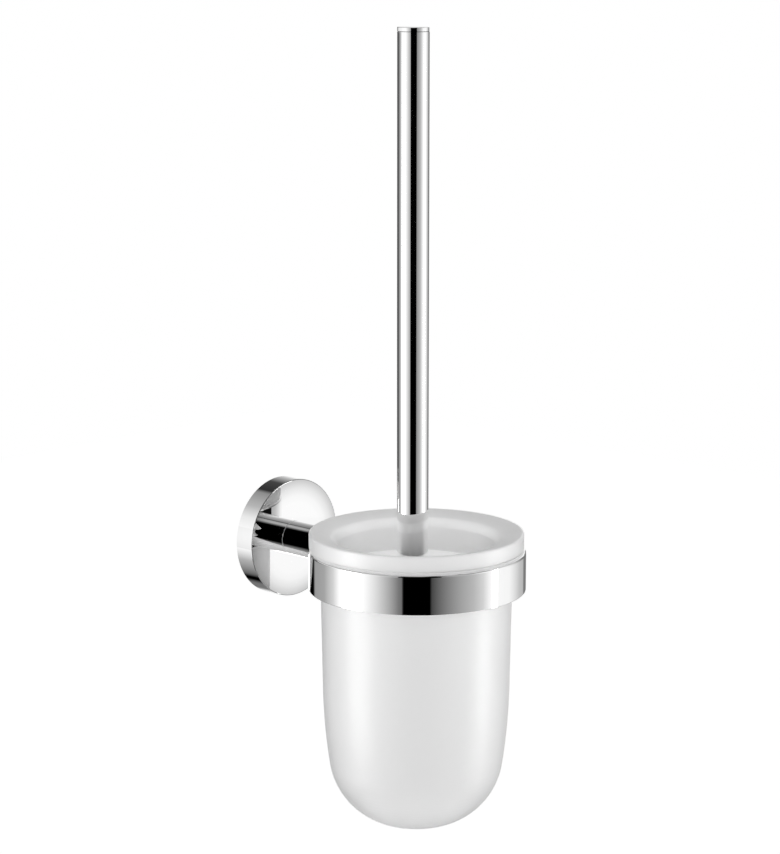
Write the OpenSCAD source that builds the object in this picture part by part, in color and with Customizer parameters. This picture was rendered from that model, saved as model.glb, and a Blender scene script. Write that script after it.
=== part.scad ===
// Wall-mounted toilet brush holder: a flange and arm carry a ring, a glass tumbler hangs in the ring
// by its rim, and the brush stands loose in the tumbler. Millimetres, +Z up, wall at y = 0, the room
// at -Y. The origin is the centre of the flange's back. Heights named "..._z" count from the ring's
// lower edge.

/* [Wall flange] */
// Outside diameter of the round flange
flange_d = 62.5; // [56:0.5:72]
// How far the flange's face stands off the wall
flange_t = 11.8; // [11:0.1:16]
// Thickness of the flange's round side wall
flange_wall = 4; // [3:0.5:5]
// Thickness of the flange's face
flange_face_t = 3; // [2.5:0.5:4]
// Rounding of the flange's front edge
flange_edge_r = 0.4; // [0.2:0.1:1.2]

/* [Wall bracket] */
// Depth of the bracket that the flange slides over
bracket_t = 6.5; // [6:0.25:7.5]
// Thickness of the bracket's plate at the screw holes
bracket_plate_t = 3; // [2:0.5:4]
// Width of the bracket's raised rim
bracket_rim_w = 4; // [3:0.5:5]
// Diameter of the bracket's centre hole, which clears the arm bolt's head
bracket_hole_d = 18; // [16:0.5:19]
// Distance between the two wall screw holes
screw_spacing = 30; // [29:0.5:32]
// Diameter of the wall screw holes
screw_hole_d = 5.5; // [4.5:0.5:6]
// Depth of the V groove that the grub screw presses into
groove_depth = 1.2; // [0.8:0.1:1.5]
// Clearance between the bracket and the flange
bracket_fit = 0.15; // [0.1:0.05:0.4]

/* [Screws] */
// Diameter of the grub screw under the flange
grub_d = 4; // [3:0.5:5]
// Distance from the wall to the grub screw's axis
grub_y = 4; // [3.5:0.25:4.5]
// How deep the grub screw sits below the flange's side
grub_recess = 0.6; // [0.4:0.1:1]
// Diameter of the bolt that holds the arm on the flange
arm_bolt_d = 6; // [5:0.5:7]
// Depth of the arm bolt's thread in the arm
arm_bolt_reach = 13; // [10:1:15]
// Thickness of the washer under the arm bolt's head
washer_t = 1.2; // [0.8:0.2:1.6]
// Diameter of the countersunk screw that holds the ring on the arm
ring_screw_d = 5; // [4:0.5:5]
// Depth of the ring screw's thread in the arm
ring_screw_reach = 11; // [9:1:13]
// Radial clearance around the shank of each screw
screw_fit = 0.05; // [0.03:0.01:0.1]

/* [Arm and ring] */
// Diameter of the round arm
arm_d = 18.2; // [14:0.2:19]
// Distance from the wall to the ring's axis
reach = 101; // [95:1:120]
// Bevel where the arm meets the flange
arm_bevel = 0.25; // [0.1:0.05:0.5]
// Outside diameter of the ring
ring_d = 110; // [98:1:122]
// Height of the ring
ring_h = 20; // [19:0.5:24]
// Thickness of the ring's wall
ring_wall = 3.25; // [3:0.25:3.5]
// Rounding of the ring's outer top edge
ring_edge_r = 1; // [0.2:0.1:1.2]
// Height of the arm's axis above the ring's lower edge
arm_z = 11.7; // [10:0.1:12]
// Thickness of the liner's flange between the ring and the glass
liner_flange_t = 1.1; // [0.8:0.1:2]
// How far the liner's flange stays inside the ring's outer side
liner_setback = 1.2; // [0.6:0.1:2]
// Thickness of the liner's skirt inside the ring
liner_wall = 1.3; // [1:0.1:1.4]
// Height of the liner's lower edge
liner_z = 5; // [3:0.5:6]
// Clearance between the liner and the ring
liner_fit = 0.1; // [0.05:0.05:0.3]

/* [Glass tumbler] */
// How far the tumbler stands off the ring's axis, across and out
tumbler_shift = [-0.35, 0.35];
// Clearance between the glass rim and the liner
seat_gap = 0.05; // [0.02:0.01:0.2]
// Clearance between the glass side and the liner's bore
glass_fit = 1.4; // [1:0.1:2.5]
// Taper of the glass side, in degrees
glass_taper = 1; // [0.5:0.1:2]
// Depth below the ring at which the side starts to curve in
side_depth = 52; // [45:1:58]
// Radius of the long curve of the side
side_curve_r = 300; // [260:5:340]
// Radius of the round corner of the bottom
corner_r = 37.5; // [32:0.5:39]
// Radius of the bottom's shallow curve
bottom_r = 75; // [72:1:100]
// Depth of the bottom below the ring's lower edge
glass_depth = 124.5; // [121:0.5:130]
// Thickness of the glass
glass_wall = 4.5; // [4:0.1:5]
// How far the rim's side stays inside the ring's outer side
rim_setback = 0.5; // [0:0.1:2]
// Height of the rim
rim_h = 8.3; // [7:0.1:10]
// Rounding of the rim's outer top edge
rim_edge_r = 1; // [0.8:0.1:3.5]
// Rounding of the rim's lower edge
rim_foot_r = 0.7; // [0.3:0.1:1]
// Slope of the rim's top down towards the mouth, in degrees
rim_slope = 14; // [8:1:18]
// Width of the rim from its side to the mouth
rim_w = 14; // [13:0.5:16]
// Rounding of the mouth's lip
lip_r = 5; // [2:0.1:5.5]
// Height at which the mouth has widened to the wall's own thickness
throat_z = 2; // [0:0.5:5]

/* [Handle] */
// How far the brush stands off the ring's axis, across and out
brush_shift = [-1.65, 1.75];
// Diameter of the handle tube
handle_d = 16; // [14:0.5:18]
// Wall of the handle tube
handle_wall = 1; // [0.8:0.1:1.5]
// Height of the handle's top
handle_top_z = 282; // [240:1:300]
// Height of the handle's end cap
cap_h = 2.3; // [1.5:0.1:4]
// Rounding of the end cap's top edge
cap_edge_r = 0.3; // [0.2:0.1:0.9]
// Width and depth of the fine seam under the cap
cap_seam = 0.25; // [0.1:0.05:0.3]
// Length of the spigots that close the tube's two ends
spigot_h = 12; // [8:1:20]
// Diameter of the threaded stud between the handle and the brush head
stud_d = 8; // [6:1:8]
// Depth of the stud's thread in the handle
stud_up = 10; // [8:1:11]
// Depth of the stud's thread in the brush head
stud_down = 20; // [15:1:24]
// Clearance of the spigots in the tube
spigot_fit = 0.03; // [0.01:0.01:0.06]

/* [Cover disc] */
// Height of the cover disc's top face
cover_z = 12; // [8:0.5:14]
// Gap between the cover disc and the mouth
cover_gap = 5.5; // [4:0.5:8]
// Thickness of the cover disc
cover_t = 2; // [1.5:0.1:3]
// Height of the cover disc's outer skirt
cover_skirt_h = 5; // [4:0.5:8]
// Diameter of the hub under the cover disc
cover_hub_d = 24; // [20:1:28]
// Height of the hub below the cover's top face
cover_hub_h = 12; // [8:0.5:16]
// Number of ribs under the cover disc
cover_ribs = 6; // [3:1:12]
// Depth of the seat for the handle's end
cover_seat_h = 1.4; // [1:0.1:1.8]
// Clearance around the handle's end in its seat
cover_seat_fit = 0.25; // [0.1:0.05:0.5]
// Thickness of the flat seal under the handle's end
seal_t = 0.8; // [0.5:0.1:1]

/* [Brush head] */
// Diameter of the stem of the brush head
stem_d = 14; // [12:0.5:16]
// Diameter of the core that carries the bristles
core_d = 22; // [18:1:24]
// Height at which the core reaches its full diameter
core_z = -25; // [-28:1:-20]
// Thickness of the bristles below the core's end
core_cover = 20; // [18:1:24]
// How far the bristles stay inside the mouth
bristle_gap = 3.5; // [2.5:0.5:6]
// Height of the uppermost bristles
bristle_z = -27; // [-32:1:-27]
// Height of the round lower part of the bristles
bristle_dome_h = 31; // [28:1:36]
// Clearance between the lowest bristles and the glass
bristle_fit = 0.4; // [0.3:0.1:1]
// How far the tufts stand out of the dense inside of the bristles
tuft_reach = 12; // [8:1:14]
// Radius of a tuft where it leaves the dense inside
tuft_foot_r = 2.8; // [2:0.1:3.2]
// Radius of a tuft's tip
tuft_tip_r = 4; // [3:0.1:4.2]
// Rows of tufts round the straight part
tuft_rows = 7; // [5:1:7]
// Rows of tufts round the dome, with the one at its middle
dome_rows = 5; // [4:1:5]
// Tufts in each row round the straight part
tufts = 16; // [10:1:16]

/* [Hidden] */
$fn = 96;

arc_steps = 10;

flange_r = flange_d / 2;
bracket_r = flange_r - flange_wall - bracket_fit;
cavity_t = flange_t - flange_face_t;
groove_r = bracket_r - groove_depth;

ring_r = ring_d / 2;
ring_bore_r = ring_r - ring_wall;
liner_r = ring_bore_r - liner_fit;
liner_bore_r = liner_r - liner_wall;

rim_r = ring_r - rim_setback;
rim_z = ring_h + liner_flange_t + seat_gap;
rim_top_z = rim_z + rim_h;
mouth_r = rim_r - rim_w;
neck_r = liner_bore_r - glass_fit;
glass_r = neck_r - rim_z * tan(glass_taper);

handle_r = handle_d / 2;
tube_bore_r = handle_r - handle_wall;
spigot_r = tube_bore_r - spigot_fit;
tube_z = cover_z - cover_seat_h;
seal_z = tube_z - seal_t;
hub_z = cover_z - cover_hub_h;
stud_r = stud_d / 2;
inside_z = glass_wall - glass_depth;
bristle_end_z = inside_z + bristle_fit;
core_end_z = bristle_end_z + core_cover;
core_end_r = 3;

// Points of an arc about c from angle a to angle b, without its first point if it carries on a curve
function arc(c, r, a, b, n = arc_steps, carry_on = false) =
    [for (i = [carry_on ? 1 : 0:n]) let (t = a + (b - a) * i / n) c + r * [cos(t), sin(t)]];

function direction(v) = atan2(v.y, v.x);

// The lower right one of the two points at distance ra from a and rb from b
function meeting(a, ra, b, rb) =
    let (d = norm(b - a), u = (b - a) / d, x = (d * d + ra * ra - rb * rb) / (2 * d),
         h = sqrt(ra * ra - x * x))
    a + x * u + h * [u.y, -u.x];

// Centres of the three tangent arcs that shape the glass below its straight side
side_end = [glass_r - side_depth * tan(glass_taper), -side_depth];
side_c = side_end - side_curve_r * [cos(glass_taper), -sin(glass_taper)];
bottom_c = [0, bottom_r - glass_depth];
corner_c = meeting(side_c, side_curve_r - corner_r, bottom_c, bottom_r - corner_r);
side_turn = direction(corner_c - side_c);
corner_turn = direction(corner_c - bottom_c);

// Profile of the glass from the straight side's end to the bottom's middle, t inside the outer face
function glass_curve(t) = concat(
    arc(side_c, side_curve_r - t, -glass_taper, side_turn),
    arc(corner_c, corner_r - t, side_turn, corner_turn, 2 * arc_steps, true),
    arc(bottom_c, bottom_r - t, corner_turn, -90, arc_steps, true));

function reversed(p) = [for (i = [len(p) - 1:-1:0]) p[i]];

// Moves its children to the ring's axis and lower edge
module at_ring() { translate([0, -reach, -arm_z]) children(); }

// Moves its children to the tumbler's axis
module at_tumbler() { at_ring() translate([tumbler_shift.x, tumbler_shift.y, 0]) children(); }

// Moves its children to the brush's axis
module at_brush() { at_ring() translate([brush_shift.x, brush_shift.y, 0]) children(); }

// Turns its children's +Z out of the wall
module out_of_wall() { rotate([90, 0, 0]) children(); }

// Ring between two radii
module tube(r_out, r_in, h) {
    difference() {
        cylinder(r = r_out, h = h);
        translate([0, 0, -1]) cylinder(r = r_in, h = h + 2);
    }
}

// Hexagon socket for a key, r across its corners, cut down from z = 0
module key_socket(r, depth) { translate([0, 0, -depth]) cylinder(r = r, h = depth + 1, $fn = 6); }

module wall_bracket() {
    rim_in_r = bracket_r - bracket_rim_w;
    color("silver") out_of_wall() difference() {
        rotate_extrude() polygon([
            [bracket_hole_d / 2, 0], [bracket_r, 0], [bracket_r, grub_y - groove_depth],
            [groove_r, grub_y], [bracket_r, grub_y + groove_depth], [bracket_r, bracket_t],
            [rim_in_r, bracket_t], [rim_in_r, bracket_plate_t], [bracket_hole_d / 2, bracket_plate_t]]);
        for (side = [-1, 1]) translate([side * screw_spacing / 2, 0, -1])
            cylinder(d = screw_hole_d, h = bracket_plate_t + 2);
    }
}

module flange_cup() {
    back_bevel = 0.3;
    bolt_hole_r = arm_bolt_d / 2 + screw_fit;
    color("gainsboro") difference() {
        out_of_wall() rotate_extrude() polygon(concat(
            [[bolt_hole_r, cavity_t], [flange_r - flange_wall, cavity_t], [flange_r - flange_wall, 0],
             [flange_r - back_bevel, 0], [flange_r, back_bevel]],
            arc([flange_r - flange_edge_r, flange_t - flange_edge_r], flange_edge_r, 0, 90, 6),
            [[bolt_hole_r, flange_t]]));
        translate([0, -grub_y, -flange_r - 1]) cylinder(d = grub_d + 2 * screw_fit, h = flange_wall + 2);
    }
}

module grub_screw() {
    tip_r = 0.3;
    cone_h = grub_d / 2 - tip_r;
    foot = flange_r - grub_recess;
    color("dimgray") translate([0, -grub_y, -foot]) difference() {
        union() {
            cylinder(d = grub_d, h = foot - groove_r - grub_d / 2);
            translate([0, 0, foot - groove_r - grub_d / 2])
                cylinder(r1 = grub_d / 2, r2 = tip_r, h = cone_h);
        }
        mirror([0, 0, 1]) key_socket(grub_d * 0.29, grub_d * 0.35);
    }
}

module arm_washer() {
    color("silver") out_of_wall() translate([0, 0, cavity_t - washer_t])
        tube(arm_bolt_d, arm_bolt_d / 2 + screw_fit, washer_t);
}

module arm_bolt() {
    head_h = arm_bolt_d * 0.55;
    head_z = cavity_t - washer_t - head_h;
    color("gray") out_of_wall() difference() {
        union() {
            translate([0, 0, head_z]) cylinder(r = arm_bolt_d * 0.875, h = head_h);
            translate([0, 0, head_z + head_h])
                cylinder(d = arm_bolt_d, h = washer_t + flange_face_t + arm_bolt_reach);
        }
        translate([0, 0, head_z]) mirror([0, 0, 1]) key_socket(arm_bolt_d * 0.38, head_h * 0.7);
    }
}

module arm() {
    arm_r = arm_d / 2;
    blind = 1.5;
    color("gainsboro") difference() {
        out_of_wall() rotate_extrude() polygon([
            [0, flange_t], [arm_r - arm_bevel, flange_t], [arm_r, flange_t + arm_bevel],
            [arm_r, reach - ring_bore_r], [0, reach - ring_bore_r]]);
        at_ring() translate([0, 0, -ring_h]) cylinder(r = ring_r, h = 3 * ring_h);
        out_of_wall() translate([0, 0, flange_t - 1])
            cylinder(r = arm_bolt_d / 2 + screw_fit, h = arm_bolt_reach + blind + 1);
        translate([0, -reach + ring_r - 2, 0]) rotate([-90, 0, 0])
            cylinder(r = ring_screw_d / 2 + screw_fit, h = ring_screw_reach + blind + 2);
    }
}

// Shape of the ring's screw, grown by a clearance: +Z points at the wall, z = 0 on the ring's bore
module screw_shape(grow, length) {
    sink = 0.3;
    head_h = ring_wall * 0.6;
    shank_r = ring_screw_d / 2 + grow;
    translate([0, 0, sink]) {
        cylinder(r1 = shank_r + head_h, r2 = shank_r, h = head_h);
        cylinder(r = shank_r, h = length - sink);
        if (grow > 0) translate([0, 0, -sink - 1]) cylinder(r = shank_r + head_h, h = sink + 1);
    }
}

// Turns +Z at the wall, at the ring's bore and the arm's height
module at_ring_screw() { translate([0, -reach + ring_bore_r, 0]) rotate([-90, 0, 0]) children(); }

module holder_ring() {
    foot_r = 0.3;
    color("gainsboro") difference() {
        at_ring() rotate_extrude() polygon(concat(
            [[ring_bore_r, 0]],
            arc([ring_r - foot_r, foot_r], foot_r, -90, 0, 4),
            arc([ring_r - ring_edge_r, ring_h - ring_edge_r], ring_edge_r, 0, 90, 8),
            [[ring_bore_r, ring_h]]));
        at_ring_screw() screw_shape(screw_fit, ring_wall + 1);
    }
}

module ring_screw() {
    color("gray") at_ring_screw() difference() {
        screw_shape(0, ring_wall + ring_screw_reach);
        translate([0, 0, 0.3]) mirror([0, 0, 1]) key_socket(ring_screw_d * 0.3, 1.6);
    }
}

module ring_liner() {
    top_r = ring_r - liner_setback;
    color("whitesmoke") at_ring() rotate_extrude() polygon([
        [liner_bore_r, liner_z], [liner_r, liner_z], [liner_r, ring_h], [top_r, ring_h],
        [top_r, ring_h + liner_flange_t], [liner_bore_r, ring_h + liner_flange_t]]);
}

module glass_tumbler() {
    edge_c = [rim_r - rim_edge_r, rim_top_z - rim_edge_r];
    // the sloped top leaves the outer rounding and meets the lip's rounding tangentially
    top_start = edge_c + rim_edge_r * [-sin(rim_slope), cos(rim_slope)];
    lip_c = let (run = top_start.x - (mouth_r + lip_r - lip_r * sin(rim_slope)))
        [mouth_r + lip_r, top_start.y - run * tan(rim_slope) - lip_r * cos(rim_slope)];
    outer = concat(
        arc(lip_c, lip_r, 180, 90 + rim_slope, 14),
        arc(edge_c, rim_edge_r, 90 + rim_slope, 0),
        arc([rim_r - rim_foot_r, rim_z + rim_foot_r], rim_foot_r, 0, -90, 4),
        [[neck_r, rim_z]],
        glass_curve(0));
    inner = concat([[glass_r - glass_wall + throat_z * tan(glass_taper), throat_z]], glass_curve(glass_wall));
    color("ghostwhite") at_tumbler() rotate_extrude() polygon(concat(outer, reversed(inner)));
}

module handle_tube() {
    color("gainsboro") at_brush() translate([0, 0, tube_z])
        tube(handle_r, tube_bore_r, handle_top_z - cap_h - tube_z);
}

module handle_cap() {
    cap_z = handle_top_z - cap_h;
    color("gainsboro") at_brush() rotate_extrude() polygon(concat(
        [[0, cap_z - spigot_h], [spigot_r, cap_z - spigot_h], [spigot_r, cap_z],
         [handle_r - cap_seam, cap_z], [handle_r - cap_seam, cap_z + cap_seam], [handle_r, cap_z + cap_seam]],
        arc([handle_r - cap_edge_r, handle_top_z - cap_edge_r], cap_edge_r, 0, 90, 5),
        [[0, handle_top_z]]));
}

module handle_plug() {
    color("goldenrod") at_brush() translate([0, 0, tube_z])
        tube(spigot_r, stud_r + screw_fit, spigot_h);
}

module handle_stud() {
    color("gray") at_brush() translate([0, 0, hub_z - stud_down])
        cylinder(r = stud_r, h = tube_z + stud_up - hub_z + stud_down);
}

module handle_seal() {
    color("black") at_brush() translate([0, 0, seal_z]) tube(handle_r, stud_r + screw_fit, seal_t);
}

module cover_disc() {
    cover_r = mouth_r - cover_gap;
    edge_r = 0.8;
    skirt_t = 1.6;
    rib_t = 1.5;
    rib_h = cover_skirt_h - 1;
    seat_r = handle_r + cover_seat_fit;
    color("whitesmoke") at_brush() {
        rotate_extrude() polygon(concat(
            [[stud_r + screw_fit, hub_z], [cover_hub_d / 2, hub_z], [cover_hub_d / 2, cover_z - cover_t],
             [cover_r - skirt_t, cover_z - cover_t], [cover_r - skirt_t, cover_z - cover_skirt_h],
             [cover_r, cover_z - cover_skirt_h]],
            arc([cover_r - edge_r, cover_z - edge_r], edge_r, 0, 90, 4),
            [[seat_r, cover_z], [seat_r, seal_z], [stud_r + screw_fit, seal_z]]));
        for (i = [0:cover_ribs - 1]) rotate([0, 0, (i + 0.5) * 360 / cover_ribs])
            translate([cover_hub_d / 2 - 0.5, -rib_t / 2, cover_z - cover_t - rib_h])
                cube([cover_r - skirt_t - cover_hub_d / 2 + 1, rib_t, rib_h + 0.5]);
    }
}

module brush_core() {
    core_r = core_d / 2;
    stem_r = stem_d / 2;
    flare_h = hub_z - core_z;
    socket_z = hub_z - stud_down - 1.5;
    // the stem flares into the core along half a cosine
    flare = [for (i = [0:arc_steps]) let (t = i / arc_steps)
        [core_r - (core_r - stem_r) * (1 - cos(180 * t)) / 2, core_z + flare_h * 0.6 * t]];
    color("whitesmoke") at_brush() rotate_extrude() polygon(concat(
        [[0, core_end_z]],
        arc([core_r - core_end_r, core_end_z + core_end_r], core_end_r, -90, 0, 6),
        flare,
        [[stem_r, hub_z], [stud_r + screw_fit, hub_z], [stud_r + screw_fit, socket_z], [0, socket_z]]));
}

// One tuft, a cone that ends at length along +X from its row's centre
module tuft(length) {
    sunk = 1;
    rotate([0, 90, 0]) translate([0, 0, length - tuft_reach - sunk])
        cylinder(r1 = tuft_foot_r, r2 = tuft_tip_r, h = tuft_reach + sunk);
}

// A row of tufts round the axis, tilted down by an angle; odd rows stand between even ones
module tuft_row(z, tilt, length, count, odd) {
    for (i = [0:count - 1]) translate([0, 0, z])
        rotate([0, tilt, (i + (odd ? 0.5 : 0)) * 360 / count]) tuft(length);
}

module bristles() {
    bristle_r = mouth_r - bristle_gap;
    core_r = core_d / 2;
    dome_z = bristle_end_z + bristle_dome_h;
    top_z = bristle_z - tuft_tip_r;
    row_h = (top_z - dome_z) / tuft_rows;
    inside_r = bristle_r - tuft_reach;
    inside_h = bristle_dome_h - tuft_reach;
    dome = [for (i = [0:arc_steps]) let (t = 90 * i / arc_steps)
        [inside_r * sin(t), dome_z - inside_h * cos(t)]];
    color("white") at_brush() {
        rotate_extrude() difference() {
            polygon(concat(dome, [[inside_r, bristle_z], [0, bristle_z]]));
            translate([0, core_end_z]) square([core_r - core_end_r, bristle_z - core_end_z + 1]);
            translate([0, core_end_z + core_end_r]) square([core_r, bristle_z - core_end_z]);
            translate([core_r - core_end_r, core_end_z + core_end_r]) circle(r = core_end_r);
        }
        for (i = [0:tuft_rows - 1])
            tuft_row(top_z - i * row_h, 0, bristle_r, tufts, i % 2 == 1);
        // the dome's tufts fan out of its centre to a half ellipse, and keep their edges inside it
        for (i = [0:dome_rows - 1]) {
            t = 90 * (i + 1) / dome_rows;
            span = norm([bristle_r * cos(t), bristle_dome_h * sin(t)]);
            tilt = atan2(bristle_dome_h * sin(t), bristle_r * cos(t));
            tuft_row(dome_z, tilt, span - tuft_tip_r * sin(2 * t), max(1, round(tufts * cos(t))),
                (tuft_rows + i) % 2 == 1);
        }
    }
}

wall_bracket();
flange_cup();
grub_screw();
arm_bolt();
arm_washer();
arm();
holder_ring();
ring_screw();
ring_liner();
glass_tumbler();
handle_tube();
handle_cap();
handle_plug();
handle_stud();
handle_seal();
cover_disc();
brush_core();
bristles();
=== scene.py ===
"""Looks of a wall-mounted toilet brush holder: chrome holder, frosted glass tumbler and a brush.

Metres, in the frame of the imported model: +Z up, the wall at y = 0, the room at -Y.
"""
import bisect
import math
import random

import bmesh
import bpy
from mathutils import Matrix, Vector


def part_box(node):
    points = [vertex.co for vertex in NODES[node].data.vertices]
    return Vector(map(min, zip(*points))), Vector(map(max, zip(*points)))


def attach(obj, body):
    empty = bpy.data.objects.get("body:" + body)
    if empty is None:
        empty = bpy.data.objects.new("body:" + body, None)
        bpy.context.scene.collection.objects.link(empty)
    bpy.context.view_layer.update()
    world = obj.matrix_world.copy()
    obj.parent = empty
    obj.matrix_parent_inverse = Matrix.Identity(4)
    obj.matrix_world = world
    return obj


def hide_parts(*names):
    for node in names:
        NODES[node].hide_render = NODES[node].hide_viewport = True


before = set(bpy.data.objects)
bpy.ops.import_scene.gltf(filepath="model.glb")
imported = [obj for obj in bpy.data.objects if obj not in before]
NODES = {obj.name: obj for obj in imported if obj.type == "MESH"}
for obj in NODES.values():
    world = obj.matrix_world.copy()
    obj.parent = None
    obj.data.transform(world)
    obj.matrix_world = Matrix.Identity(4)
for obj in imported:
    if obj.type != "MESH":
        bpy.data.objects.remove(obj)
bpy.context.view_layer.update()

MM = 0.001


# ---------------------------------------------------------------- places taken from the frame

ring_lo, ring_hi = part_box("holder_ring")
AXIS = Vector(((ring_lo.x + ring_hi.x) / 2, (ring_lo.y + ring_hi.y) / 2, ring_lo.z))
flange_lo, flange_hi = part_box("flange_cup")
FLANGE_R = (flange_hi.x - flange_lo.x) / 2
FLANGE_T = flange_hi.y - flange_lo.y
SEAM_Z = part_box("handle_tube")[1].z
core_lo, core_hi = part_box("brush_core")
CORE_R = (core_hi.x - core_lo.x) / 2
BRUSH = Vector(((core_lo.x + core_hi.x) / 2, (core_lo.y + core_hi.y) / 2, 0))


# ---------------------------------------------------------------- camera

# Fitted to the object's outline in the photograph
CAMERA_AZIMUTH = math.radians(-46.798)
CAMERA_YAW = math.radians(0.6115)
CAMERA_PITCH = math.radians(10.934)
CAMERA_DISTANCE = 1.3
CAMERA_HEIGHT = 0.33433
CAMERA_LENS_MM = 111.19


def around(azimuth, elevation=0.0):
    """Unit vector towards an azimuth (0 is -Y, positive turns to +X) and an elevation, in radians."""
    flat = math.cos(elevation)
    return Vector((math.sin(azimuth) * flat, -math.cos(azimuth) * flat, math.sin(elevation)))


def from_camera(turn, rise=0.0):
    """Unit vector at a turn from the camera's azimuth and a rise over level, in degrees."""
    return around(CAMERA_AZIMUTH + math.radians(turn), math.radians(rise))


def add_object(name, data):
    piece = bpy.data.objects.new(name, data)
    bpy.context.scene.collection.objects.link(piece)
    return piece


def make_camera():
    data = bpy.data.cameras.new("camera")
    data.lens = CAMERA_LENS_MM
    camera = add_object("camera", data)
    camera.location = AXIS + around(CAMERA_AZIMUTH) * CAMERA_DISTANCE + Vector((0, 0, CAMERA_HEIGHT))
    look = -around(CAMERA_AZIMUTH + CAMERA_YAW, CAMERA_PITCH)
    camera.rotation_euler = look.to_track_quat("-Z", "Y").to_euler()
    bpy.context.scene.camera = camera


# ---------------------------------------------------------------- shader nodes

def nodes_of(owner):
    """The emptied node tree of a material or a world."""
    owner.use_nodes = True
    tree = owner.node_tree
    tree.nodes.clear()
    return tree


def add_node(tree, kind, **inputs):
    """A node, with its sockets set by name: a socket, a number or a colour."""
    node = tree.nodes.new(kind)
    for name, value in inputs.items():
        key = name.replace("_", " ")
        socket = next(s for s in node.inputs if s.name == key or s.identifier == name)
        if isinstance(value, bpy.types.NodeSocket):
            tree.links.new(value, socket)
        else:
            socket.default_value = value
    return node


def math_node(tree, operation, *values):
    node = tree.nodes.new("ShaderNodeMath")
    node.operation = operation
    for socket, value in zip(node.inputs, values):
        if isinstance(value, bpy.types.NodeSocket):
            tree.links.new(value, socket)
        else:
            socket.default_value = value
    return node.outputs[0]


def ramp_node(tree, factor, stops):
    """A colour ramp of grey or coloured stops over factor."""
    node = tree.nodes.new("ShaderNodeValToRGB")
    tree.links.new(factor, node.inputs[0])
    ramp = node.color_ramp
    while len(ramp.elements) < len(stops):
        ramp.elements.new(1)
    for element, (place, level) in zip(ramp.elements, stops):
        element.position = place
        element.color = (*level, 1) if isinstance(level, tuple) else (level, level, level, 1)
    return node.outputs[0]


def mix_node(tree, blend, factor, a, b):
    """A mix of colours a and b by factor, each a socket or a value."""
    node = tree.nodes.new("ShaderNodeMix")
    node.data_type = "RGBA"
    node.blend_type = blend
    for name, value in (("Factor", factor), ("A", a), ("B", b)):
        if isinstance(value, bpy.types.NodeSocket):
            tree.links.new(value, node.inputs[name])
        else:
            node.inputs[name].default_value = value
    return node.outputs["Result"]


def object_place(tree):
    """The object's own coordinates."""
    return tree.nodes.new("ShaderNodeTexCoord").outputs["Object"]


def object_axes(tree):
    """The X, Y and Z of the object's own coordinates."""
    return add_node(tree, "ShaderNodeSeparateXYZ", Vector=object_place(tree)).outputs


def surface_out(tree, shader, kind="ShaderNodeOutputMaterial"):
    out = tree.nodes.new(kind)
    tree.links.new(shader.outputs[0], out.inputs["Surface"])


# ---------------------------------------------------------------- finishes

# The middle part of the noise's values, which is spread over the whole variation
NOISE_LOW = 0.3
NOISE_HIGH = 0.7


def noise_node(tree, scale, detail):
    """Noise over the object's own coordinates, with scale in waves a metre."""
    node = add_node(tree, "ShaderNodeTexNoise", Vector=object_place(tree), Scale=scale, Detail=detail)
    return node.outputs["Fac"]


def shaded(name, colour, roughness, normal=None, **fixed):
    """A material with one Principled shader. colour, roughness and normal build on its node tree."""
    material = bpy.data.materials.new(name)
    tree = nodes_of(material)
    shader = tree.nodes.new("ShaderNodeBsdfPrincipled")
    tree.links.new(colour(tree), shader.inputs["Base Color"])
    tree.links.new(roughness(tree), shader.inputs["Roughness"])
    if normal:
        tree.links.new(normal(tree), shader.inputs["Normal"])
    for key, value in fixed.items():
        shader.inputs[key.replace("_", " ")].default_value = value
    surface_out(tree, shader)
    return material


def speckle(scale, low, high, detail=2.0):
    """A grey or coloured variation between low and high, driven by noise."""
    def build(tree):
        return ramp_node(tree, noise_node(tree, scale, detail), [(NOISE_LOW, low), (NOISE_HIGH, high)])
    return build


def waver(scale, low, high, detail=2.0):
    """A number that varies between low and high, driven by noise."""
    def build(tree):
        node = add_node(tree, "ShaderNodeMapRange", Value=noise_node(tree, scale, detail),
                        From_Min=NOISE_LOW, From_Max=NOISE_HIGH, To_Min=low, To_Max=high)
        return node.outputs[0]
    return build


def grain(scale, distance, detail=2.0):
    """A normal roughened by noise, with its bumps distance deep in metres."""
    def build(tree):
        node = add_node(tree, "ShaderNodeBump", Height=noise_node(tree, scale, detail),
                        Distance=distance, Strength=1.0)
        return node.outputs[0]
    return build


# ---------------------------------------------------------------- materials

chrome_tone = speckle(90, 0.955, 0.975)
chrome_gloss = waver(300, 0.008, 0.022, detail=4)

# How far behind its front the flange's surface still counts as its face
FACE_DEPTH = 0.4 * MM
# Chrome of the flange's side, and of its face by the share of the radius, which follows the
# photographed face
FLANGE_SIDE = (0.97, 0.97, 0.97, 1)
# The face's stops are painted reflection: they darken the chrome towards the face's edge, most on its
# rounded edge
FLANGE_FACE_PAINTED_REFLECTION = [(0.6, 0.97), (0.72, 0.93), (0.85, 0.80), (0.96, 0.63), (0.985, 0.6), (0.99, 0.3)]
# How far out from the flange the arm's surface counts as its fine bevel
BEVEL = 0.3 * MM
BEVEL_ROUGHNESS = 0.45
# Height of the groove under the handle's cap, which is painted black as shade, and what is added to
# reach past its top
CAP_SEAM = 0.25 * MM
SEAM_MARGIN = 0.01 * MM
# Painted shade: colour of the glass by how edge-on it is seen, greyer towards its outline
GLASS_EDGE_SHADE = [(0.3, 0.97), (0.4, 0.94), (0.55, 0.88), (0.75, 0.80)]
# Light spreads equally far for red, green and blue
EVEN_SPREAD = (1.0, 1.0, 1.0)


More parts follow.
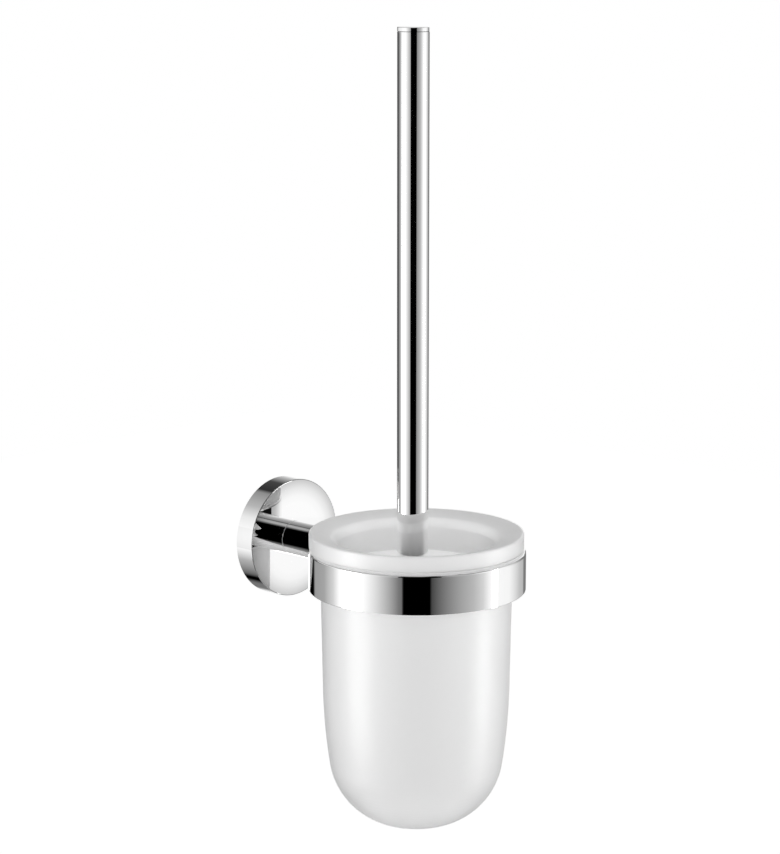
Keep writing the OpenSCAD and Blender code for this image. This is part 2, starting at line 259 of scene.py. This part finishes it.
def flange_painted_reflection(tree):
    """Chrome with painted reflection: it darkens towards the edge of the flange's face."""
    x, y, z = object_axes(tree)
    radius = math_node(tree, "SQRT", math_node(
        tree, "ADD", math_node(tree, "MULTIPLY", x, x), math_node(tree, "MULTIPLY", z, z)))
    share = math_node(tree, "DIVIDE", radius, FLANGE_R)
    on_face = math_node(tree, "LESS_THAN", y, -FLANGE_T + FACE_DEPTH)
    return mix_node(tree, "MIX", on_face, FLANGE_SIDE, ramp_node(tree, share, FLANGE_FACE_PAINTED_REFLECTION))


def cap_seam_shade_colour(tree):
    """Chrome with painted shade: black in the groove where the cap meets the tube."""
    above = math_node(tree, "GREATER_THAN", object_axes(tree)["Z"], SEAM_Z + CAP_SEAM + SEAM_MARGIN)
    return math_node(tree, "MULTIPLY", above, chrome_tone(tree))


def arm_gloss(tree):
    """Polished, but for the fine bevel where the arm meets the flange."""
    bevel = math_node(tree, "GREATER_THAN", object_axes(tree)["Y"], -FLANGE_T - BEVEL)
    return math_node(tree, "MULTIPLY_ADD", bevel, BEVEL_ROUGHNESS, chrome_gloss(tree))


def glass_edge_shade_colour(tree):
    """Near-white frosted glass with painted shade: it turns greyer where it is seen edge-on."""
    facing = add_node(tree, "ShaderNodeLayerWeight", Blend=0.5).outputs["Facing"]
    edge = ramp_node(tree, facing, GLASS_EDGE_SHADE)
    return mix_node(tree, "MULTIPLY", 1.0, edge, speckle(60, 0.985, 1.0, 3)(tree))


def make_materials():
    """Every finish by its slot's name, and the own chromes of three nodes."""
    return {
        "chrome": shaded("chrome", chrome_tone, chrome_gloss, Metallic=1.0),
        # The flange's chrome carries painted reflection on its face
        "chrome_flange_painted_reflection": shaded("chrome_flange_painted_reflection", flange_painted_reflection, chrome_gloss, Metallic=1.0),
        "chrome_arm": shaded("chrome_arm", chrome_tone, arm_gloss, Metallic=1.0),
        "chrome_cap_seam_shade": shaded("chrome_cap_seam_shade", cap_seam_shade_colour, chrome_gloss, Metallic=1.0),
        "bracket_metal": shaded(
            "bracket_metal", speckle(400, (0.50, 0.50, 0.49), (0.60, 0.60, 0.59), 5),
            waver(900, 0.42, 0.58, 5), grain(1400, 0.02 * MM, 4), Metallic=1.0),
        "steel": shaded(
            "steel", speckle(700, (0.42, 0.42, 0.43), (0.55, 0.55, 0.56), 4),
            waver(1100, 0.28, 0.42, 4), grain(1800, 0.01 * MM, 3), Metallic=1.0),
        "plug_brass": shaded(
            "plug_brass", speckle(500, (0.62, 0.46, 0.20), (0.72, 0.55, 0.27), 3),
            waver(900, 0.25, 0.38, 3), grain(1600, 0.01 * MM, 3), Metallic=1.0),
        "liner_plastic": shaded(
            "liner_plastic", speckle(500, 0.76, 0.80), waver(800, 0.40, 0.5),
            grain(3000, 0.01 * MM)),
        "frosted_glass": shaded(
            "frosted_glass", glass_edge_shade_colour, waver(500, 0.36, 0.42, 3),
            grain(5200, 0.004 * MM, 2), IOR=1.5, Specular_IOR_Level=1.0, Subsurface_Weight=1.0,
            Subsurface_Scale=4 * MM, Subsurface_Radius=EVEN_SPREAD),
        "seal_rubber": shaded(
            "seal_rubber", speckle(900, 0.018, 0.028, 4), waver(1200, 0.55, 0.7, 4),
            grain(2600, 0.03 * MM, 3)),
        "white_plastic": shaded(
            "white_plastic", speckle(200, 0.87, 0.90, 3), waver(600, 0.33, 0.42, 3),
            grain(3500, 0.006 * MM, 2), Subsurface_Weight=0.15, Subsurface_Scale=2 * MM,
            Subsurface_Radius=EVEN_SPREAD),
        "bristle": shaded(
            "bristle", speckle(700, 0.93, 0.97, 3), waver(900, 0.28, 0.4, 3),
            Subsurface_Weight=0.6, Subsurface_Scale=2 * MM, Subsurface_Radius=EVEN_SPREAD),
    }


def dress_nodes(materials):
    """Gives each CAD node the finished material of its slot, and three of them their own chrome."""
    for node in NODES.values():
        for slot in node.material_slots:
            slot.material = materials[slot.material.name.split(".")[0]]
    NODES["flange_cup"].material_slots[0].material = materials["chrome_flange_painted_reflection"]
    NODES["arm"].material_slots[0].material = materials["chrome_arm"]
    NODES["handle_cap"].material_slots[0].material = materials["chrome_cap_seam_shade"]


# ---------------------------------------------------------------- bristles

TUFT_ROWS = 8
DOME_ROWS = 5
TUFTS_ROUND = 16
FILAMENTS = 34
FILAMENT_R = 0.26 * MM
FILAMENT_SIDES = 5
FILAMENT_STEPS = 4
# Height of a filament's blunt point, as a share of its radius
FILAMENT_POINT = 0.8
TUFT_ROOT_R = 1.9 * MM
TUFT_TIP_R = 5.2 * MM
# How deep a tuft's root sits in the core
ROOT_DEPTH = 0.8 * MM
# How much shorter a tuft is at its rim than in its middle
TUFT_CROWN = 1.0 * MM
# What a filament's bow is a random share of
SAG = 0.6 * MM
GOLDEN_TURN = math.pi * (3 - math.sqrt(5))
# Height of the dome at the lower end, and how far out its roots are as a share of its tips
DOME_H = 31 * MM
DOME_ROOT = 0.32
# How far the tufts' ends stay inside the plain bristle solid: at its side, top and lower end
SIDE_INSET = 0.3 * MM
TOP_INSET = 4 * MM
DOME_INSET = 0.6 * MM


def square_to(along):
    """Two unit vectors that are square to a direction and to each other."""
    across = along.cross(Vector((0, 0, 1)))
    across = across.normalized() if across.length > 0.01 else Vector((1, 0, 0))
    return across, across.cross(along)


def add_filament(bm, root, tip, sag):
    """One bristle: a thin tube from root to tip that bows by sag, with a blunt point."""
    along = (tip - root).normalized()
    across, up = square_to(along)
    turns = [2 * math.pi * i / FILAMENT_SIDES for i in range(FILAMENT_SIDES)]
    rings = []
    for j in range(FILAMENT_STEPS + 1):
        share = j / FILAMENT_STEPS
        centre = root.lerp(tip, share) + sag * (share * share)
        rings.append([bm.verts.new(centre + (across * math.cos(a) + up * math.sin(a)) * FILAMENT_R)
                      for a in turns])
    top = bm.verts.new(tip + sag + along * FILAMENT_R * FILAMENT_POINT)
    for low, high in zip(rings, rings[1:]):
        for i in range(FILAMENT_SIDES):
            k = (i + 1) % FILAMENT_SIDES
            bm.faces.new((low[i], low[k], high[k], high[i]))
    for i in range(FILAMENT_SIDES):
        bm.faces.new((rings[-1][i], rings[-1][(i + 1) % FILAMENT_SIDES], top))
    bm.faces.new(list(reversed(rings[0])))


def add_tuft(bm, root, tip, draw):
    """A bunch of filaments that leaves one hole of the core and fans out towards its tip."""
    along = (tip - root).normalized()
    across, up = square_to(along)
    for i in range(FILAMENTS):
        radius = math.sqrt((i + 0.5) / FILAMENTS)
        turn = i * GOLDEN_TURN + draw.uniform(-0.2, 0.2)
        side = across * math.cos(turn) + up * math.sin(turn)
        fan = TUFT_TIP_R * radius * draw.uniform(0.85, 1.1)
        trim = draw.uniform(-0.9, 0.3) * MM - TUFT_CROWN * radius * radius
        start = root + side * TUFT_ROOT_R * radius
        sag = (side * draw.uniform(0.1, 0.5) + up * draw.uniform(-0.5, 0.5)) * SAG
        add_filament(bm, start, tip + side * fan + along * trim - sag, sag)


def round_ways(count, row):
    """Level unit vectors that share out a circle, half a step further in every second row."""
    turns = [2 * math.pi * (i + 0.5 * (row % 2)) / count for i in range(count)]
    return [Vector((math.cos(turn), math.sin(turn), 0)) for turn in turns]


def make_bristles():
    """The brush head: rows of tufts round the core, and a dome of them at its lower end."""
    low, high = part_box("bristles")
    reach = (high.x - low.x) / 2 - SIDE_INSET
    root_r = CORE_R - ROOT_DEPTH
    dome_z = low.z + DOME_H
    top_z = high.z - TOP_INSET
    draw = random.Random(7)
    bm = bmesh.new()
    for row in range(TUFT_ROWS):
        centre = BRUSH + Vector((0, 0, top_z - row * (top_z - dome_z) / (TUFT_ROWS - 1)))
        for way in round_ways(TUFTS_ROUND, row):
            add_tuft(bm, centre + way * root_r, centre + way * reach, draw)
    for row in range(DOME_ROWS):
        slope = math.pi / 2 * (row + 1) / DOME_ROWS
        count = max(1, round(TUFTS_ROUND * math.cos(slope)))
        out, down = reach * math.cos(slope), (DOME_H - DOME_INSET) * math.sin(slope)
        foot_out = min(root_r, out * DOME_ROOT)
        foot_down = max(0, dome_z - core_lo.z) * math.sin(slope) - ROOT_DEPTH
        for way in round_ways(count, TUFT_ROWS + row):
            root = BRUSH + way * foot_out + Vector((0, 0, dome_z - foot_down))
            add_tuft(bm, root, BRUSH + way * out + Vector((0, 0, dome_z - down)), draw)
    mesh = bpy.data.meshes.new("bristle_filaments")
    bm.to_mesh(mesh)
    bm.free()
    mesh.polygons.foreach_set("use_smooth", [True] * len(mesh.polygons))
    piece = add_object("bristle_filaments", mesh)
    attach(piece, "brush")
    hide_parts("bristles")
    return piece


# ---------------------------------------------------------------- studio that the metal mirrors

STUDIO_R = 1.2

# Brightness round the studio by angle from the camera's direction, in degrees: what the low ring
# sees, what the tall handle sees, and what the arm sees high up in front. The levels were measured
# on the photographed chrome by a program, then thinned, rounded and adjusted
RING_VIEW = [(-141, 0), (-136, 0.33), (-114, 0.38), (-98, 0.67), (-87, 1.1), (-60, 1.1), (-46, 0.8),
             (-19, 0.19), (-16, 0.16), (-14.7, 0), (13, 0), (14.7, 0.06), (44, 0.35), (60, 0.49),
             (72, 0.67), (82, 1), (112, 0.94), (136, 0.55), (149, 0.48), (151, 0.2)]
HANDLE_VIEW = [(-180, 0.15), (-128, 0.08), (-103, 0.48), (-88, 1.05), (-55, 1.05), (-34, 0.62),
               (-20, 0.4), (-19, 0), (24, 0), (25, 0.25), (54, 0.52), (74, 1), (99, 1),
               (110, 0.83), (140, 0.18)]
UPPER_VIEW = [(-84, 0.55), (-20, 0.35), (12, 0.3), (22, 0.02), (28, 0.08), (43, 0.5), (51, 0.5),
              (61, 0.08), (70, 0.27), (82, 0.18), (91, 0.02), (94, 0.1), (99, 0.7), (150, 0.5)]
LOWER_LEVEL = 0.3
ZENITH_LEVEL = 0.4

# Rises of the band that the ring sees, of its lower edge at the far left and of its upper edge at
# the far right
RING_RISES = (-16, -12.5)
LEFT_RING_RISE = -18
RIGHT_RING_RISE = -10.9
# Turns from which those two edges hold, and from which the right one's added strip is dark
LEFT_RING_TURN = -140
RIGHT_RING_TURN = 105
RIGHT_DARK_TURN = 146
RIGHT_DARK_LEVEL = 0.005

# Turns of the front, the rises over which it changes to the arm's view above and to LOWER_LEVEL
# below, and how far the handle's view goes on behind it
FRONT_TURNS = (-84, 150)
UPPER_FADE = (11, 45)
LOWER_FADE = (-28, -45)
HANDLE_TURN = 165
HANDLE_TOP_RISE = 11.08
# Rise over which ZENITH_LEVEL holds all round
ZENITH_RISE = 66

# Bright middles of the two side panels, as (first turn, last turn, level), and their rises
PANELS = ((-84, -60, 5), (84, 91, 8))
PANEL_RISES = (-28, 10)

# The dark flag in the camera's direction, as turn and rise limits
FLAG_TURNS = (-19, 24)
FLAG_RISES = (-28, 46)

# What the flange's round side sees, by the angle of its normal above -X, measured in the same way
SIDE_VIEW = [(-90, 0.3), (-63, 1), (-53, 0.18), (-44, 0.17), (-38, 0), (-34, 0), (-30, 0.14),
             (-14.5, 0.45), (-2.5, 1), (14, 1), (27.5, 0.84), (39.5, 0.48), (56, 0.27), (60, 0.03),
             (75, 0.06), (90, 0.55), (98, 1)]

# Rises of the shell's rows, with close pairs where the ring's and the handle's views end, and its
# turns
SHELL_RISES = [*range(-58, -18), -18.05, -17.95, -16.05, -15.95, -12.55, -12.45, -10.95, -10.85,
               *range(-10, 12), 11.05, 11.1, *range(12, 67), *range(68, 90, 3)]
SHELL_TURNS = range(-180, 181)


def within(limits, value):
    return limits[0] <= value <= limits[1]


def level_at(stops, place):
    """Straight-line value of a list of (place, level) stops."""
    i = bisect.bisect([p for p, _ in stops], place)
    if i == 0:
        return stops[0][1]
    if i == len(stops):
        return stops[-1][1]
    (a, low), (b, high) = stops[i - 1], stops[i]
    return low + (high - low) * (place - a) / (b - a)


def studio_place(turn, rise):
    return AXIS + from_camera(turn, rise) * STUDIO_R


def side_level(place):
    """Brightness at a place of the studio, as the flange's side reflects it."""
    flange = Vector((0, flange_lo.y, 0))
    sight = (flange - bpy.context.scene.camera.location).normalized()
    normal = (place - flange).normalized() - sight
    return level_at(SIDE_VIEW, math.degrees(math.atan2(normal.z, -normal.x)))


def share_between(value, start, end):
    """How far value has gone from start to end, from 0 to 1."""
    return min(1, max(0, (value - start) / (end - start)))


def front_level(turn, rise):
    """Brightness of the front, which changes high up and low down."""
    if within(FLAG_TURNS, turn) and within(FLAG_RISES, rise):
        return 0
    level = level_at(HANDLE_VIEW, turn)
    level += (level_at(UPPER_VIEW, turn) - level) * share_between(rise, *UPPER_FADE)
    return level + (LOWER_LEVEL - level) * share_between(rise, *LOWER_FADE)


def studio_level(turn, rise):
    """Brightness of the studio at a turn from the camera's direction and a rise, in degrees."""
    if rise > ZENITH_RISE:
        return ZENITH_LEVEL
    for first, last, level in PANELS:
        if within((first, last), turn) and within(PANEL_RISES, rise):
            return level
    ring_low, ring_top = RING_RISES
    if ring_low < rise < ring_top or LEFT_RING_RISE < rise <= ring_low and turn < LEFT_RING_TURN:
        return level_at(RING_VIEW, turn)
    if ring_top <= rise < RIGHT_RING_RISE and turn > RIGHT_RING_TURN:
        return level_at(RING_VIEW, turn) if turn < RIGHT_DARK_TURN else RIGHT_DARK_LEVEL
    if within(FRONT_TURNS, turn):
        return front_level(turn, rise)
    if ring_top <= rise < HANDLE_TOP_RISE and abs(turn) < HANDLE_TURN:
        return level_at(HANDLE_VIEW, turn)
    return ZENITH_LEVEL if rise > UPPER_FADE[1] else side_level(studio_place(turn, rise))


def ray_only(piece):
    """Shows a piece to mirror rays alone."""
    piece.visible_camera = False
    piece.visible_diffuse = False
    piece.visible_transmission = False
    piece.visible_volume_scatter = False
    piece.visible_shadow = False


def glow_material():
    """A material that glows as brightly as the mesh's own "level" says."""
    material = bpy.data.materials.new("studio_shell")
    tree = nodes_of(material)
    attribute = tree.nodes.new("ShaderNodeAttribute")
    attribute.attribute_name = "level"
    surface_out(tree, add_node(tree, "ShaderNodeEmission", Strength=attribute.outputs["Fac"]))
    return material


def make_studio_shell():
    """A round wall of soft light and dark round the object, which only mirror rays see."""
    mesh = bpy.data.meshes.new("studio_shell")
    spots = [(turn, rise) for rise in SHELL_RISES for turn in SHELL_TURNS]
    n = len(SHELL_TURNS)
    faces = [(j * n + i, j * n + i + 1, (j + 1) * n + i + 1, (j + 1) * n + i)
             for j in range(len(SHELL_RISES) - 1) for i in range(n - 1)]
    mesh.from_pydata([studio_place(*spot) for spot in spots], [], faces)
    level = mesh.attributes.new("level", "FLOAT", "POINT")
    level.data.foreach_set("value", [studio_level(*spot) for spot in spots])
    mesh.materials.append(glow_material())
    ray_only(add_object("studio_shell", mesh))


# ---------------------------------------------------------------- world and floor

# Strength of the world's light on the object by the sine of the direction's elevation
AMBIENT = [(0.0, 1.0), (0.1, 0.92), (0.25, 0.67), (0.5, 0.50), (1.0, 0.44)]

FLOOR_DROP = 0.95
FLOOR_HALF = 4.0
FLOOR_COLOUR = (0.9, 0.9, 0.9, 1)
# What is added to the floor's own light where the camera or a mirror sees it
FLOOR_GLOW = 0.55


def make_world():
    """White to the camera and to mirror and glass rays, and light from low down that fades overhead."""
    world = bpy.data.worlds.new("world")
    bpy.context.scene.world = world
    tree = nodes_of(world)
    path = tree.nodes.new("ShaderNodeLightPath")
    seen = math_node(tree, "MAXIMUM", path.outputs["Is Camera Ray"], math_node(
        tree, "MAXIMUM", path.outputs["Is Glossy Ray"], path.outputs["Is Transmission Ray"]))
    way = tree.nodes.new("ShaderNodeTexCoord").outputs["Generated"]
    height = add_node(tree, "ShaderNodeSeparateXYZ", Vector=way).outputs["Z"]
    strength = math_node(tree, "MAXIMUM", seen, ramp_node(tree, height, AMBIENT))
    background = add_node(tree, "ShaderNodeBackground", Color=(1, 1, 1, 1), Strength=strength)
    surface_out(tree, background, "ShaderNodeOutputWorld")


def floor_material():
    material = bpy.data.materials.new("floor")
    tree = nodes_of(material)
    matt = add_node(tree, "ShaderNodeBsdfDiffuse", Color=FLOOR_COLOUR)
    path = tree.nodes.new("ShaderNodeLightPath")
    seen = math_node(tree, "MAXIMUM", path.outputs["Is Camera Ray"], path.outputs["Is Glossy Ray"])
    glow = add_node(tree, "ShaderNodeEmission", Strength=math_node(tree, "MULTIPLY", seen, FLOOR_GLOW))
    both = tree.nodes.new("ShaderNodeAddShader")
    tree.links.new(matt.outputs[0], both.inputs[0])
    tree.links.new(glow.outputs[0], both.inputs[1])
    surface_out(tree, both)
    return material


def make_floor():
    """A plain pale floor: it keeps the object's shadow, and its open parts reach white in view."""
    mesh = bpy.data.meshes.new("floor")
    z = AXIS.z - FLOOR_DROP
    corners = [(x * FLOOR_HALF, y * FLOOR_HALF, z) for x, y in ((-1, -1), (1, -1), (1, 1), (-1, 1))]
    mesh.from_pydata(corners, [], [(0, 1, 2, 3)])
    mesh.materials.append(floor_material())
    floor = add_object("floor", mesh)


# ---------------------------------------------------------------- lamps

LAMP_DISTANCE = 1.1
LAMP_SIZE = (0.8, 0.4)
# Turns of the small lamps over the cover, round the far half of the tumbler's mouth
MOUTH_STEP = 20
MOUTH_TURNS = range(90, 271, MOUTH_STEP)


def add_lamp(name, place, aim, across, size, power):
    """A soft rectangular lamp at place that shines along aim and shows in no mirror."""
    data = bpy.data.lights.new(name, "AREA")
    data.shape = "RECTANGLE"
    data.size, data.size_y = size
    data.energy = power
    lamp = add_object(name, data)
    turned = Matrix((across, across.cross(aim), -aim)).transposed().to_4x4()
    lamp.matrix_world = Matrix.Translation(place) @ turned
    lamp.visible_glossy = False
    lamp.visible_camera = False


def make_side_lamp(name, turn, rise, power):
    """A lamp at a turn from the camera, aimed at the ring."""
    way = from_camera(turn, rise)
    across = Vector((way.y, -way.x, 0)).normalized()
    add_lamp(name, AXIS + way * LAMP_DISTANCE, -way, across, LAMP_SIZE, power)


def make_mouth_lamps(name, radius, height, tilt, length, level):
    """Small lamps in a half ring over the cover, on the far side of the tumbler's mouth.

    height is over the cover, tilt is how many degrees they shine up from level, and level is how
    bright each is for its size.
    """
    cover_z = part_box("cover_disc")[1].z
    width = radius * math.radians(MOUTH_STEP)
    power = level * math.pi * width * length
    for turn in MOUTH_TURNS:
        way = from_camera(turn)
        place = Vector((AXIS.x, AXIS.y, cover_z + height)) + way * radius
        aim = way * math.cos(math.radians(tilt)) + Vector((0, 0, math.sin(math.radians(tilt))))
        across = Vector((-way.y, way.x, 0))
        add_lamp(f"{name}_{turn}", place, aim, across, (width, length), power)


# ---------------------------------------------------------------- build

make_camera()
materials = make_materials()
dress_nodes(materials)
make_bristles().data.materials.append(materials["bristle"])
make_world()
make_floor()
make_studio_shell()
make_side_lamp("lamp_left", -42, -2, 2.9)
make_side_lamp("lamp_right", 84, -2, 3.6)
make_mouth_lamps("lamp_gap", 40.8 * MM, -5.5 * MM, 0, 7 * MM, 0.5)
make_mouth_lamps("lamp_wall", 37.5 * MM, -2 * MM, 90, 5 * MM, 0.55)
make_mouth_lamps("lamp_cover", 22 * MM, 8.5 * MM, -90, 26 * MM, 0.55)
make_mouth_lamps("lamp_lip", 31.5 * MM, 25 * MM, -27, 11 * MM, 1.1)

scene = bpy.context.scene
scene.view_settings.view_transform = "Standard"
scene.cycles.use_denoising = True
